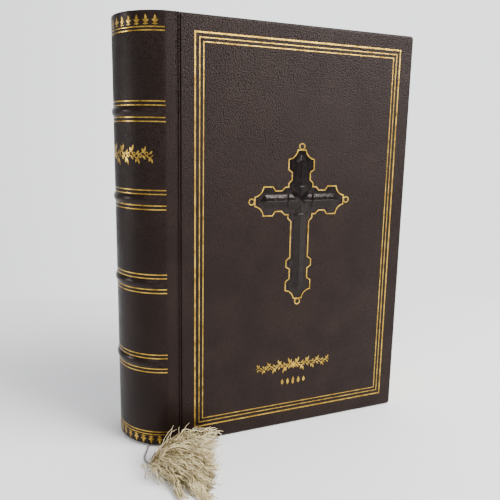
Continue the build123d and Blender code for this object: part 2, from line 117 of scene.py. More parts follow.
# Where the ornament stands: distances from the hinge line on the cover, from the middle on the spine
PALMETTE_GAPS = 15
PALMETTE_PITCH = ARC_END * 2.0 / PALMETTE_GAPS
PALMETTE_HEAD = 179.3
PALMETTE_TAIL = 5.3
SPINE_ORNAMENT_Z = 129.0
SPINE_ORNAMENT_HALF = 23.5
COVER_MIDDLE_X = 57.0
FLOURISH_Z = 30.2
FLOURISH_HALF = 19.6
SMALL_ROW_Z = 22.2
LOZENGE_PITCH = 2.9
LOZENGE_HEIGHT = 3.6
LOZENGE_WIDTH = 1.35

# Bookmark
CORD_DIAMETER = 0.8
CORD_ROUTE = [
    (-55.0, 0.2, 3.3),
    (-55.0, 0.2, 0.4),
    (-56.1, -5.0, 0.4),
    (-58.0, -13.2, 0.4),
    (-61.0, -20.2, 0.4),
    (-63.9, -26.0, 0.4),
    (-64.1, -31.0, 0.5),
    (-61.5, -35.6, 1.6),
]
PLY_COUNT = 3
PLY_PITCH = 2.6
PLY_SHARE = 0.30
PLY_SIDES = 8


def metres(point):
    return Vector(point) * MM


def blend_share(value, low, high):
    """0 below low, 1 above high, and a smooth step between."""
    share = min(1.0, max(0.0, (value - low) / (high - low)))
    return share * share * (3.0 - 2.0 * share)


# Camera ---------------------------------------------------------------------------------------

CAMERA_PLACE = (-116.3, -253.9, 136.4)
CAMERA_TURN = -23.78
CAMERA_TILT = 79.15
CAMERA_ROLL = 1.09
CAMERA_LENS = 41.9


def make_camera():
    data = bpy.data.cameras.new("camera")
    data.lens = CAMERA_LENS
    data.clip_start = 0.01
    camera = bpy.data.objects.new("camera", data)
    bpy.context.scene.collection.objects.link(camera)
    turn = Matrix.Rotation(math.radians(CAMERA_TURN), 4, "Z")
    tilt = Matrix.Rotation(math.radians(CAMERA_TILT), 4, "X")
    roll = Matrix.Rotation(math.radians(CAMERA_ROLL), 4, "Z")
    camera.matrix_world = Matrix.Translation(metres(CAMERA_PLACE)) @ turn @ tilt @ roll
    bpy.context.scene.camera = camera


# Mesh helpers ---------------------------------------------------------------------------------


class Surface:
    """Points and faces of one piece, gathered body by body, in millimetres."""

    def __init__(self):
        self.points = []
        self.faces = []
        self.tones = []

    def loft(self, rings, tones=None):
        """One closed body through rings of as many points each; tones has one list for each ring."""
        first = len(self.points)
        size = len(rings[0])
        for number, ring in enumerate(rings):
            self.points.extend(ring)
            self.tones.extend(tones[number] if tones else [0.0] * size)
        for row in range(len(rings) - 1):
            for side in range(size):
                near = first + row * size + side
                beside = first + row * size + (side + 1) % size
                self.faces.append((near, beside, beside + size, near + size))
        last = first + (len(rings) - 1) * size
        self.faces.append(tuple(range(first + size - 1, first - 1, -1)))
        self.faces.append(tuple(range(last, last + size)))

    def piece(self, name, material, sharp_angle=50.0):
        mesh = bpy.data.meshes.new(name)
        mesh.from_pydata([metres(point) for point in self.points], [], self.faces)
        tone = mesh.attributes.new("tone", "FLOAT", "POINT")
        tone.data.foreach_set("value", self.tones)
        work = bmesh.new()
        work.from_mesh(mesh)
        bmesh.ops.recalc_face_normals(work, faces=work.faces)
        work.to_mesh(mesh)
        work.free()
        mesh.shade_smooth()
        mesh.set_sharp_from_angle(angle=math.radians(sharp_angle))
        mesh.materials.append(material)
        made = bpy.data.objects.new(name, mesh)
        bpy.context.scene.collection.objects.link(made)
        return made


def across(path, index):
    """Unit vector square to a flat path at one of its points."""
    before = path[max(index - 1, 0)]
    after = path[min(index + 1, len(path) - 1)]
    run = Vector((after[0] - before[0], after[1] - before[1]))
    if run.length < 1e-9:
        return Vector((1.0, 0.0))
    run.normalize()
    return Vector((-run.y, run.x))


def tube_rings(path, radii, sides, start_angle=0.0):
    """Rings round a path in space; radii has one radius for each point."""
    rings = []
    side = Vector((0.0, 0.0, 1.0))
    for index, point in enumerate(path):
        before = path[max(index - 1, 0)]
        after = path[min(index + 1, len(path) - 1)]
        run = (after - before).normalized()
        side = side - run * side.dot(run)
        if side.length < 1e-4:
            side = run.orthogonal()
        side.normalize()
        other = run.cross(side)
        ring = []
        for number in range(sides):
            angle = start_angle + 2.0 * math.pi * number / sides
            ring.append(point + (side * math.cos(angle) + other * math.sin(angle)) * radii[index])
        rings.append(ring)
    return rings


# Materials ------------------------------------------------------------------------------------


class Finish:
    """A Principled material and short ways to build its textures, in object space."""

    def __init__(self, name, colour, roughness, metallic=0.0):
        self.material = bpy.data.materials.new(name)
        self.material.use_nodes = True
        self.material.diffuse_color = (*colour, 1.0)
        self.tree = self.material.node_tree
        self.shader = self.tree.nodes["Principled BSDF"]
        self.shader.inputs["Base Color"].default_value = (*colour, 1.0)
        self.shader.inputs["Roughness"].default_value = roughness
        self.shader.inputs["Metallic"].default_value = metallic
        self.places = self.tree.nodes.new("ShaderNodeTexCoord")

    def link(self, source, target):
        self.tree.links.new(source, target)

    def tone(self):
        """The tone that each point of a piece carries."""
        node = self.tree.nodes.new("ShaderNodeAttribute")
        node.attribute_name = "tone"
        return node.outputs["Fac"]

    def place(self, scale=(1.0, 1.0, 1.0)):
        """Object coordinates in metres, stretched along each axis."""
        mapping = self.tree.nodes.new("ShaderNodeMapping")
        mapping.inputs["Scale"].default_value = scale
        self.link(self.places.outputs["Object"], mapping.inputs["Vector"])
        return mapping.outputs["Vector"]

    def noise(self, size, detail=3.0, stretch=(1.0, 1.0, 1.0)):
        """Noise whose features are about size millimetres across."""
        texture = self.tree.nodes.new("ShaderNodeTexNoise")
        texture.inputs["Scale"].default_value = 1.0 / (size * MM)
        texture.inputs["Detail"].default_value = detail
        self.link(self.place(stretch), texture.inputs["Vector"])
        return texture.outputs["Fac"]

    def cells(self, size, feature="SMOOTH_F1"):
        texture = self.tree.nodes.new("ShaderNodeTexVoronoi")
        texture.feature = feature
        texture.inputs["Scale"].default_value = 1.0 / (size * MM)
        self.link(self.place(), texture.inputs["Vector"])
        return texture.outputs["Distance"]

    def math(self, operation, first, second=0.0):
        node = self.tree.nodes.new("ShaderNodeMath")
        node.operation = operation
        for value, socket in zip((first, second), node.inputs):
            if isinstance(value, (int, float)):
                socket.default_value = value
            else:
                self.link(value, socket)
        return node.outputs["Value"]

    def spread(self, value, low, high, to_low=0.0, to_high=1.0):
        """Stretch value from low..high to to_low..to_high, held at the ends."""
        node = self.tree.nodes.new("ShaderNodeMapRange")
        node.inputs["From Min"].default_value = low
        node.inputs["From Max"].default_value = high
        node.inputs["To Min"].default_value = to_low
        node.inputs["To Max"].default_value = to_high
        self.link(value, node.inputs["Value"])
        return node.outputs["Result"]

    def mix(self, share, first, second):
        """Mix of two colours or colour sockets."""
        node = self.tree.nodes.new("ShaderNodeMix")
        node.data_type = "RGBA"
        self.link(share, node.inputs["Factor"])
        for value, socket in ((first, node.inputs[6]), (second, node.inputs[7])):
            if isinstance(value, tuple):
                socket.default_value = (*value, 1.0)
            else:
                self.link(value, socket)
        return node.outputs[2]

    def height(self):
        """Object-space height in metres."""
        split = self.tree.nodes.new("ShaderNodeSeparateXYZ")
        self.link(self.places.outputs["Object"], split.inputs["Vector"])
        return split.outputs["Z"]

    def facing(self, axis):
        """Part of the object-space normal along X, Y or Z."""
        split = self.tree.nodes.new("ShaderNodeSeparateXYZ")
        self.link(self.places.outputs["Normal"], split.inputs["Vector"])
        return split.outputs[axis]

    def colour(self, socket):
        self.link(socket, self.shader.inputs["Base Color"])

    def roughness(self, socket):
        self.link(socket, self.shader.inputs["Roughness"])

    def metal(self, socket):
        self.link(socket, self.shader.inputs["Metallic"])

    def bump(self, height, depth):
        """Raise the surface by up to depth millimetres where height is 1."""
        node = self.tree.nodes.new("ShaderNodeBump")
        node.inputs["Distance"].default_value = depth * MM
        self.link(height, node.inputs["Height"])
        self.link(node.outputs["Normal"], self.shader.inputs["Normal"])


# Leather: pebble sizes in millimetres, and the heights in metres between which the grain is less worn
PEBBLE_SIZE = 0.66
FINE_GRAIN_SIZE = 0.33
WORN_HEIGHTS = (0.06, 0.14)
SHEEN_COLOUR = (1.0, 0.85, 0.80)


def grained_leather(name, roughness, gloss, grain_depth):
    """Dark brown pebbled morocco with painted shade in its creases, worn towards the tail, flat where tone
    is 1.
    """
    finish = Finish(name, (0.012, 0.007, 0.006), roughness)
    pebbles = finish.cells(PEBBLE_SIZE, "F1")
    fine = finish.cells(FINE_GRAIN_SIZE)
    drift = finish.noise(16.0)
    unburnished = finish.math("SUBTRACT", 1.0, finish.math("MULTIPLY", finish.tone(), 0.8))
    unworn = finish.spread(finish.height(), *WORN_HEIGHTS, 0.45, 1.0)
    left = finish.math("MULTIPLY", unburnished, unworn)
    domes = finish.math("SUBTRACT", 1.0, finish.math("POWER", pebbles, 2.0))
    grain = finish.math("SUBTRACT", domes, finish.math("MULTIPLY", fine, 0.35))
    # Painted shade: the creases between the pebbles are darkened, less where the grain is flattened
    painted_crease_shade = finish.math("MULTIPLY", finish.spread(pebbles, 0.42, 0.75), left)
    darker = (0.0090, 0.0052, 0.0043)
    lighter = (0.0132, 0.0080, 0.0066)
    brown = finish.mix(finish.spread(drift, 0.35, 0.65), darker, lighter)
    # The near-black brown mixed in here is the painted shade of the creases
    finish.colour(finish.mix(painted_crease_shade, brown, (0.0038, 0.0020, 0.0016)))
    uneven = finish.spread(finish.noise(6.0), 0.3, 0.7, roughness - 0.05, roughness + 0.07)
    finish.roughness(finish.math("MULTIPLY", uneven, finish.spread(left, 0.2, 1.0, 0.62, 1.0)))
    finish.shader.inputs["Specular IOR Level"].default_value = gloss
    finish.shader.inputs["Specular Tint"].default_value = (*SHEEN_COLOUR, 1.0)
    finish.bump(finish.math("MULTIPLY", grain, left), grain_depth)
    return finish.material


def pressed_leather():
    """Leather burnished black and smooth by a heated stamp."""
    finish = Finish("pressed_leather", (0.004, 0.003, 0.003), 0.16)
    drift = finish.noise(3.0)
    finish.colour(finish.mix(finish.spread(drift, 0.3, 0.7), (0.0025, 0.002, 0.0022), (0.007, 0.005, 0.005)))
    finish.roughness(finish.spread(finish.noise(1.2), 0.3, 0.7, 0.08, 0.17))
    finish.shader.inputs["Specular IOR Level"].default_value = 0.16
    finish.shader.inputs["Specular Tint"].default_value = (*SHEEN_COLOUR, 1.0)
    finish.bump(finish.noise(1.8, 3.0), 0.03)
    return finish.material


def gold_leaf():
    """Leaf pressed into leather: uneven, and rubbed through in specks."""
    finish = Finish("gold_leaf", (0.95, 0.60, 0.13), 0.3, 1.0)
    rubbed = finish.spread(finish.noise(0.8, 4.0), 0.26, 0.36, 1.0, 0.0)
    bright = (0.52, 0.34, 0.060)
    dull = (0.24, 0.135, 0.018)
    warm = finish.mix(finish.spread(finish.noise(3.5), 0.35, 0.65), bright, dull)
    finish.colour(finish.mix(rubbed, warm, (0.14, 0.07, 0.02)))
    finish.metal(finish.spread(rubbed, 0.0, 1.0, 1.0, 0.4))
    finish.roughness(finish.spread(finish.noise(1.4), 0.3, 0.7, 0.24, 0.44))
    finish.bump(finish.noise(0.6, 3.0), 0.035)
    return finish.material


def leaf_edges_and_paper():
    """Paper whose cut edges are gilt; the leaves show as fine lines in the gilding."""
    finish = Finish("leaves", (0.74, 0.66, 0.50), 0.7)
    outward = finish.math("MAXIMUM", finish.math("ABSOLUTE", finish.facing("Z")), finish.facing("X"))
    cut = finish.spread(outward, 0.55, 0.65)
    lines = finish.noise(0.16, 2.0, (0.02, 1.0, 0.02))
    blotches = finish.noise(7.0)
    paper = finish.mix(finish.spread(blotches, 0.3, 0.7), (0.76, 0.69, 0.54), (0.66, 0.57, 0.41))
    gilt = finish.mix(finish.spread(lines, 0.35, 0.65), (0.52, 0.35, 0.13), (0.88, 0.67, 0.30))
    finish.colour(finish.mix(cut, paper, gilt))
    finish.metal(finish.spread(cut, 0.0, 1.0, 0.0, 0.9))
    finish.roughness(finish.spread(cut, 0.0, 1.0, 0.75, 0.36))
    finish.bump(lines, 0.05)
    return finish.material


def marbled_paper(name, marbled_side):
    """Endpaper marbled where it faces marbled_side, which is 1 or -1 along Y, and plain elsewhere."""
    finish = Finish(name, (0.5, 0.4, 0.3), 0.55)
    swirl = finish.tree.nodes.new("ShaderNodeTexNoise")
    swirl.inputs["Scale"].default_value = 45.0
    swirl.inputs["Detail"].default_value = 2.0
    finish.link(finish.place((1.0, 0.2, 0.6)), swirl.inputs["Vector"])
    bent = finish.tree.nodes.new("ShaderNodeVectorMath")
    bent.operation = "MULTIPLY_ADD"
    finish.link(swirl.outputs["Color"], bent.inputs[0])
    bent.inputs[1].default_value = (0.035, 0.0, 0.035)
    finish.link(finish.place(), bent.inputs[2])
    veins = finish.tree.nodes.new("ShaderNodeTexVoronoi")
    veins.feature = "DISTANCE_TO_EDGE"
    veins.inputs["Scale"].default_value = 130.0
    finish.link(bent.outputs["Vector"], veins.inputs["Vector"])
    red_brown = (0.20, 0.075, 0.05)
    slate = (0.055, 0.075, 0.085)
    cream = (0.72, 0.62, 0.44)
    drops = finish.mix(finish.spread(swirl.outputs["Fac"], 0.4, 0.6), red_brown, slate)
    pattern = finish.mix(finish.spread(veins.outputs["Distance"], 0.03, 0.12), cream, drops)
    side = finish.spread(finish.math("MULTIPLY", finish.facing("Y"), marbled_side), 0.4, 0.6)
    finish.colour(finish.mix(side, (0.74, 0.67, 0.52), pattern))
    finish.bump(finish.noise(0.5), 0.02)
    return finish.material


def woven_cloth(name, colour, shade, thread):
    finish = Finish(name, colour, 0.85)
    warp = finish.noise(thread, 1.0, (0.15, 1.0, 1.0))
    weft = finish.noise(thread, 1.0, (1.0, 1.0, 0.15))
    weave = finish.math("MAXIMUM", warp, weft)
    finish.colour(finish.mix(finish.spread(weave, 0.4, 0.75), shade, colour))
    finish.bump(weave, 0.12)
    return finish.material


def grey_board():
    finish = Finish("grey_board", (0.23, 0.20, 0.16), 0.9)
    fibres = finish.noise(1.5, 5.0)
    finish.colour(finish.mix(finish.spread(fibres, 0.3, 0.7), (0.19, 0.16, 0.13), (0.28, 0.25, 0.20)))
    finish.bump(fibres, 0.08)
    return finish.material


def striped_silk():
    """Endband silk, sewn over a core in stripes of two colours."""
    finish = Finish("striped_silk", (0.5, 0.3, 0.2), 0.45)
    stripes = finish.tree.nodes.new("ShaderNodeTexWave")
    stripes.bands_direction = "Y"
    stripes.inputs["Scale"].default_value = 1.0 / (12.0 * MM)
    stripes.inputs["Distortion"].default_value = 0.4
    finish.link(finish.place(), stripes.inputs["Vector"])
    share = finish.spread(stripes.outputs["Fac"], 0.42, 0.58)
    finish.colour(finish.mix(share, (0.66, 0.55, 0.36), (0.30, 0.05, 0.045)))
    finish.bump(finish.noise(0.3, 1.0, (0.2, 1.0, 0.2)), 0.08)
    return finish.material


def silk_thread(name, dark, light):
    """Undyed silk, each thread with a tone of its own."""
    finish = Finish(name, light, 0.5)
    mottled = finish.math("MULTIPLY", finish.math("SUBTRACT", finish.noise(2.5), 0.5), 0.6)
    share = finish.math("ADD", finish.tone(), mottled)
    finish.colour(finish.mix(finish.spread(share, 0.0, 1.0), dark, light))
    finish.shader.inputs["Sheen Weight"].default_value = 0.35
    finish.shader.inputs["Sheen Roughness"].default_value = 0.4
    finish.shader.inputs["Specular IOR Level"].default_value = 0.35
    return finish.material


COVER_LEATHER = grained_leather("cover_leather", 0.38, 0.122, 0.16)
SPINE_SKIN = grained_leather("spine_skin", 0.46, 0.11, 0.08)
RELIEF = pressed_leather()
GOLD = gold_leaf()
LEAVES = leaf_edges_and_paper()
ENDPAPER_FRONT = marbled_paper("endpaper_front", -1.0)
ENDPAPER_BACK = marbled_paper("endpaper_back", 1.0)
LINING = woven_cloth("lining_cloth", (0.62, 0.56, 0.44), (0.36, 0.31, 0.22), 0.5)
TAPE = woven_cloth("tape_linen", (0.70, 0.66, 0.56), (0.44, 0.39, 0.30), 0.4)
BOARD = grey_board()
ENDBAND = striped_silk()
TASSEL_SILK = silk_thread("tassel_silk", (0.13, 0.085, 0.024), (0.67, 0.57, 0.32))
CORD_SILK = silk_thread("cord_silk", (0.10, 0.075, 0.075), (0.24, 0.195, 0.20))


# Bookmark -------------------------------------------------------------------------------------


def cord_centreline():
    """Points along the smooth line that the cord follows, in millimetres."""
    curve = bpy.data.curves.new("cord_line", "CURVE")
    curve.dimensions = "3D"
    curve.resolution_u = 24
    spline = curve.splines.new("NURBS")
    spline.points.add(len(CORD_ROUTE) - 1)
    for point, place in zip(spline.points, CORD_ROUTE):
        point.co = (*metres(place), 1.0)
    spline.order_u = 3
    spline.use_endpoint_u = True
    holder = bpy.data.objects.new("cord_line", curve)
    bpy.context.scene.collection.objects.link(holder)
    bpy.context.view_layer.update()
    mesh = bpy.data.meshes.new_from_object(holder)
    line = [vertex.co / MM for vertex in mesh.vertices]
    bpy.data.meshes.remove(mesh)
    bpy.data.objects.remove(holder)
    bpy.data.curves.remove(curve)
    return line


def bookmark_cord(line):
    """Silk cord laid from three plies that wind round each other."""
    surface = Surface()
    ply_radius = CORD_DIAMETER * PLY_SHARE
    wind_radius = CORD_DIAMETER * 0.5 - ply_radius
    guide = tube_rings(line, [1.0] * len(line), 4)
    for ply in range(PLY_COUNT):
        path = []
        travelled = 0.0
        for index, point in enumerate(line):
            if index:
                travelled += (point - line[index - 1]).length
            side = guide[index][0] - point
            other = guide[index][1] - point
            angle = 2.0 * math.pi * (travelled / PLY_PITCH + ply / PLY_COUNT)
            path.append(point + (side * math.cos(angle) + other * math.sin(angle)) * wind_radius)
        tones = [[0.3 + 0.2 * ply] * PLY_SIDES] * len(path)
        surface.loft(tube_rings(path, [ply_radius] * len(path), PLY_SIDES), tones)
    return surface.piece("bookmark_cord_plies", CORD_SILK)


# Tassel: locks of crimped silk that fold over at the cord's end and fan out on the surface
TASSEL_START = Vector((-60.4, -36.6, 2.2))
TASSEL_LOCKS = 34
STRANDS_IN_LOCK = 25
STRAND_POINTS = 20
STRAND_RADIUS = 0.19
THREAD_SIDES = 4
THREAD_TAPER = 0.4
TIP_PALER = 0.42

# Headings of the locks in degrees: the fan, the part that lifts higher, and the shorter side locks,
# which are counted from the fan's first heading
FAN_ANGLES = (-80.0, 19.0)
UPPER_LOCKS = (-45.0, 12.0)
SIDE_LOCKS = (-2.0, 16.0)

# Where the fringe was cut, the gap under its threads, and how close and how far waves bend them
FRINGE_EDGE = (Vector((-31.6, -27.1)), Vector((-48.6, -68.5)))
LONGEST_STRAND = 32.0
FLOOR_GAP = 0.2
TASSEL_GAP = 0.4
BROAD_WAVE = (0.15, 2.6)
FINE_WAVE = (0.5, 0.8)

# Height of a lock's hump and of its tips: in the lower locks, and what the upper ones add
LOCK_CREST = (4.4, 4.4)
LOCK_LIFT = (2.6, 7.0)

# What a strand is drawn from: tones and lengths are shares, FOLD_BACK is a mean and a spread,
# and the rest is in millimetres
LOCK_TONES = (0.05, 0.85)
START_SPREAD = (0.9, 1.1)
START_HEIGHTS = (-1.4, 1.6)
STRAND_LENGTHS = (0.84, 1.04)
FOLD_BACK = (1.5, 1.3)
CRIMP_WIDTHS = (0.15, 0.5)
CRIMP_LENGTHS = (2.6, 5.0)

# The same for the folds of the matted head: headings are in degrees, starts and sweeps in radians
HEAD_FOLDS = 360
FOLD_POINTS = 14
FOLD_TONES = (0.2, 0.85)
FOLD_HEADINGS = (-80.0, 40.0)
FOLD_PLACES = (0.0, 13.0)
FOLD_SPREAD = 3.0
FOLD_REACHES = (1.6, 4.8)
FOLD_RISES = (2.2, 5.6)
FOLD_STARTS = (-0.2, 0.8)
FOLD_SWEEPS = (2.0, 3.6)
HEAD_RADIUS = 14.0

# The same for the stray threads, along X, Y and Z
WISPS = 16
WISP_STARTS = ((1.0, 12.0), (1.5, 5.5))
WISP_LIFT = 2.0
WISP_RUNS = ((2.0, 12.0), (4.0, 10.0), (2.0, 8.5))
WISP_BOWS = (0.5, 3.0)

STRAND_SEED = 1896
TANGLE_SEED = 5


def fringe_length(heading):
    """Distance from the cord's end to the line along which the fringe was cut."""
    first, last = FRINGE_EDGE
    edge = last - first
    away = first - TASSEL_START.to_2d()
    forward = Vector((math.cos(heading), math.sin(heading)))
    distance = away.cross(edge) / forward.cross(edge)
    low, high = [FAN_ANGLES[0] + beyond for beyond in SIDE_LOCKS]
    side_lock = blend_share(math.degrees(heading), low, high)
    return min(distance, LONGEST_STRAND) * (0.78 + 0.22 * side_lock)


def tangle(point, lock):
    """Shared waviness of the threads, so that neighbours bend together."""
    offset = Vector((lock * 0.37, lock * 0.19, 0.0))
    broad = noise.noise_vector(point * BROAD_WAVE[0] + offset) * BROAD_WAVE[1]
    return broad + noise.noise_vector(point * FINE_WAVE[0]) * FINE_WAVE[1]


def settled(point, front_limit):
    """Keep a thread on the surface and in front of the book."""
    point.y = min(point.y, front_limit)
    point.z = max(point.z, FLOOR_GAP)
    return point


def headed(heading):
    """Level unit vectors along a heading in radians and square to it."""
    forward = Vector((math.cos(heading), math.sin(heading), 0.0))
    return forward, Vector((-forward.y, forward.x, 0.0))


def strand_path(chance, heading, crest, lift_end, lock, front_limit):
    """One thread: a fold at the head, a hump, and a crimped run to its tip."""
    forward, sideways = headed(heading)
    level_spread = [chance.gauss(0, spread) for spread in START_SPREAD]
    start = TASSEL_START + Vector((*level_spread, chance.uniform(*START_HEIGHTS)))
    length = fringe_length(heading) * chance.uniform(*STRAND_LENGTHS)
    fold = max(0.0, chance.gauss(*FOLD_BACK))
    crimp = chance.uniform(*CRIMP_WIDTHS)
    wave = chance.uniform(*CRIMP_LENGTHS)
    phase = chance.uniform(0.0, 2.0 * math.pi)
    path = []
    for step in range(STRAND_POINTS):
        share = step / (STRAND_POINTS - 1)
        reach = length * share - fold * math.sin(math.pi * min(1.0, share / 0.3))
        ripple = crimp * min(1.0, share * 4.0)
        turn = phase + length * share * 2.0 * math.pi / wave
        point = start + forward * reach + sideways * ripple * math.sin(turn)
        hump = crest * math.sin(math.pi * share ** 0.7)
        point.z = start.z * (1.0 - share) + hump + lift_end * share + ripple * math.cos(turn * 0.8)
        point += tangle(point, lock) * min(1.0, share * 3.0)
        path.append(settled(point, front_limit))
    return path


def head_fold(chance, front_limit):
    """A thread that loops back over the matted head of the tassel."""
    forward, sideways = headed(math.radians(chance.uniform(*FOLD_HEADINGS)))
    away = chance.uniform(*FOLD_PLACES)
    centre = TASSEL_START + forward * away + sideways * chance.gauss(0.0, FOLD_SPREAD)
    near_head = 1.0 - min(1.0, (centre - TASSEL_START).length / HEAD_RADIUS)
    reach = chance.uniform(*FOLD_REACHES)
    rise = chance.uniform(*FOLD_RISES)
    start_angle = chance.uniform(*FOLD_STARTS)
    sweep = chance.uniform(*FOLD_SWEEPS)
    path = []
    for step in range(FOLD_POINTS):
        turn = start_angle + sweep * step / (FOLD_POINTS - 1)
        point = centre - forward * (reach * math.cos(turn))
        point.z = 0.8 + rise * math.sin(turn) * (1.0 - 0.35 * near_head) + 1.6 * (1.0 - near_head)
        point += tangle(point, 0) * 0.8
        path.append(settled(point, front_limit))
    return path


def wisp_path(chance, front_limit):
    """A stray thread that springs up towards the book."""
    start = TASSEL_START + Vector((*[chance.uniform(*span) for span in WISP_STARTS], WISP_LIFT))
    end = start + Vector([chance.uniform(*span) for span in WISP_RUNS])
    bow_height = chance.uniform(*WISP_BOWS)
    path = []
    for step in range(FOLD_POINTS):
        share = step / (FOLD_POINTS - 1)
        point = start.lerp(end, share) + Vector((0.0, 0.0, bow_height * math.sin(math.pi * share)))
        path.append(settled(point + tangle(point, 1) * 0.5 * share, front_limit))
    return path


def add_thread(chance, surface, path, radius, tone):
    """A thread that thins and pales towards its tip."""
    last = len(path) - 1
    radii = [radius * (1.0 - THREAD_TAPER * step / last) for step in range(last + 1)]
    tones = []
    for step in range(last + 1):
        shade = tone + TIP_PALER * (step / last - 0.45)
        tones.append([min(1.0, max(0.0, shade))] * THREAD_SIDES)
    surface.loft(tube_rings(path, radii, THREAD_SIDES, chance.uniform(0.0, 1.5)), tones)


def tassel(front_limit):
    """The whole fringe, and the crumpled folds at its head, as two surfaces."""
    chance = random.Random(STRAND_SEED)
    noise.seed_set(TANGLE_SEED)
    fringe = Surface()
    folds = Surface()
    for lock in range(TASSEL_LOCKS):
        share = (lock + 0.5) / TASSEL_LOCKS
        lock_angle = FAN_ANGLES[0] + (FAN_ANGLES[1] - FAN_ANGLES[0]) * share + chance.gauss(0.0, 3.0)
        upper = blend_share(lock_angle, *UPPER_LOCKS)
        lock_crest = chance.uniform(0.6, 1.0) * (LOCK_CREST[0] + LOCK_CREST[1] * upper)
        lock_end = chance.uniform(0.1, 1.0) * (LOCK_LIFT[0] + LOCK_LIFT[1] * upper)
        lock_tone = chance.uniform(*LOCK_TONES)
        for _ in range(STRANDS_IN_LOCK):
            heading = math.radians(lock_angle + chance.gauss(0.0, 1.3))
            crest = lock_crest * chance.uniform(0.1, 1.0)
            lift_end = lock_end * chance.uniform(0.0, 1.1)
            path = strand_path(chance, heading, crest, lift_end, lock, front_limit)
            add_thread(chance, fringe, path, STRAND_RADIUS, lock_tone + chance.gauss(0.0, 0.2))
    for _ in range(HEAD_FOLDS):
        path = head_fold(chance, front_limit)
        add_thread(chance, folds, path, STRAND_RADIUS, chance.uniform(*FOLD_TONES))
    for _ in range(WISPS):
        add_thread(chance, folds, wisp_path(chance, front_limit), STRAND_RADIUS * 0.6, 0.9)
    return fringe, folds


# Spine ----------------------------------------------------------------------------------------


def on_spine(along, z, out):
    """Place on the spine: along runs round its outer face from the middle, out stands off it."""
    side = -1.0 if along < 0.0 else 1.0
    beyond = abs(along) - ARC_END
    if beyond <= 0.0:
        angle = along / SPINE_RADIUS
        radius = SPINE_RADIUS + out
        return Vector((SPINE_CENTRE_X - radius * math.cos(angle), MIDDLE_Y + radius * math.sin(angle), z))
    return Vector((HINGE_X - SHOULDER_WIDTH + beyond, MIDDLE_Y + side * (HALF + out), z))


def on_cover(x, z, out):
    """Place on the front cover: x from the hinge line, out stands off the leather."""
    return Vector((HINGE_X + x, MIDDLE_Y - HALF - out, z))


def line_heights():
    heights = list(HEAD_LINES) + list(TAIL_LINES)
    for band in BAND_HEIGHTS:
        heights += [band + offset for offset in BAND_LINES]
    return heights


def rib(distance, half, height, fade):
    """Height of a rounded rib at a distance from its middle."""
    if abs(distance) >= half:
        return 0.0
    return height * fade * (1.0 - (distance / half) ** 2) ** 1.2


def rounded_end(distance):
    """How far a surface falls back near an edge that lies distance away."""
    if distance >= EDGE_ROUND:
        return 0.0
    short = EDGE_ROUND - max(distance, 0.0)
    return EDGE_ROUND - math.sqrt(max(0.0, EDGE_ROUND ** 2 - short ** 2))


def spine_outside(along, z):
    """How far the outer face of the spine leather stands off its plain curve."""
    fade = 1.0 - blend_share(abs(along), *BAND_FADE)
    out = 0.0
    for band in BAND_HEIGHTS:
        out += rib(z - band, BAND_HALF, BAND_HEIGHT, fade)
        out -= CREASE_DEPTH * fade * math.exp(-((abs(z - band) - BAND_HALF) / CREASE_WIDTH) ** 2)
    if abs(along) < TOOLED_END:
        half = LINE_WIDTH / 2.0
        for line in line_heights():
            out -= TOOL_DEPTH * (1.0 - blend_share(abs(z - line), half, half + LINE_SLOPE))
    out -= rounded_end(min(z - SPINE_BOTTOM, SPINE_TOP - z))
    out -= rounded_end(SKIN_END - abs(along))
    return out


def spine_inside(along, z):
    fade = 1.0 - blend_share(abs(along), *BAND_FADE)
    return -SPINE_LEATHER + sum(rib(z - band, CORE_HALF, CORE_HEIGHT, fade) for band in BAND_HEIGHTS)


def spine_rows():
    """Heights of the mesh rows, close together where the leather is worked."""
    reach = PLAIN_ROW + LINE_WIDTH
    rows = []
    z = SPINE_BOTTOM
    while z < SPINE_TOP - 0.05:
        rows.append(z)
        near_band = min(abs(z - band) for band in BAND_HEIGHTS) < BAND_LINES[-1] + reach
        near_end = z < TAIL_LINES[0] + LINE_WIDTH or z > HEAD_LINES[1] - reach
        z += FINE_ROW if near_band or near_end else PLAIN_ROW
    rows.append(SPINE_TOP)
    return rows


def spine_columns(end, step):
    count = int(round(2.0 * end / step))
    return [-end + 2.0 * end * number / count for number in range(count + 1)]


def burnish(along, z):
    """1 where the tool or the band has rubbed the grain flat."""
    fade = 1.0 - blend_share(abs(along), *BAND_FADE)
    nearest_band = min(abs(z - band) for band in BAND_HEIGHTS)
    nearest_line = min(abs(z - line) for line in line_heights())
    on_band = fade * (1.0 - blend_share(nearest_band, *RUBBED_BY_BAND))
    on_line = fade * (1.0 - blend_share(nearest_line, *RUBBED_BY_LINE))
    at_end = fade * (1.0 - blend_share(min(z - SPINE_BOTTOM, SPINE_TOP - z), *RUBBED_AT_END))
    return max(on_band, 0.7 * at_end, on_line)


def spine_leather():
    surface = Surface()
    rows = spine_rows()
    turns = [0.4 * number for number in range(EDGE_COLUMNS)]
    edge_columns = [SKIN_END - EDGE_ROUND * (1.0 - math.cos(turn)) for turn in turns]
    inner = spine_columns(SKIN_END - EDGE_ROUND - 0.1, COLUMN_STEP)
    columns = sorted(inner + edge_columns + [-column for column in edge_columns])
    rings = []
    tones = []
    for along in columns:
        outside = [on_spine(along, z, spine_outside(along, z)) for z in rows]
        inside = [on_spine(along, z, spine_inside(along, z)) for z in reversed(rows)]
        rings.append(outside + inside)
        tones.append([burnish(along, z) for z in rows] + [0.0] * len(rows))
    surface.loft(rings, tones)
    return surface.piece("spine_leather_skin", SPINE_SKIN)


def spine_lines():
    """Gilt lines round the spine, lying in the grooves that the tool pressed."""
    surface = Surface()
    half = LINE_WIDTH / 2.0
    section = ((-half, -TOOL_DEPTH), (-half, -0.04), (0.0, -0.02), (half, -0.04), (half, -TOOL_DEPTH))
    for line in line_heights():
        rings = []
        for along in spine_columns(ARC_END, COLUMN_STEP):
            rings.append([on_spine(along, line + up, out) for up, out in section])
        surface.loft(rings)
    return surface.piece("spine_gilt_line_strips", GOLD)


# Gilt ornament: strokes of leaf that follow the surface under them ------------------------------

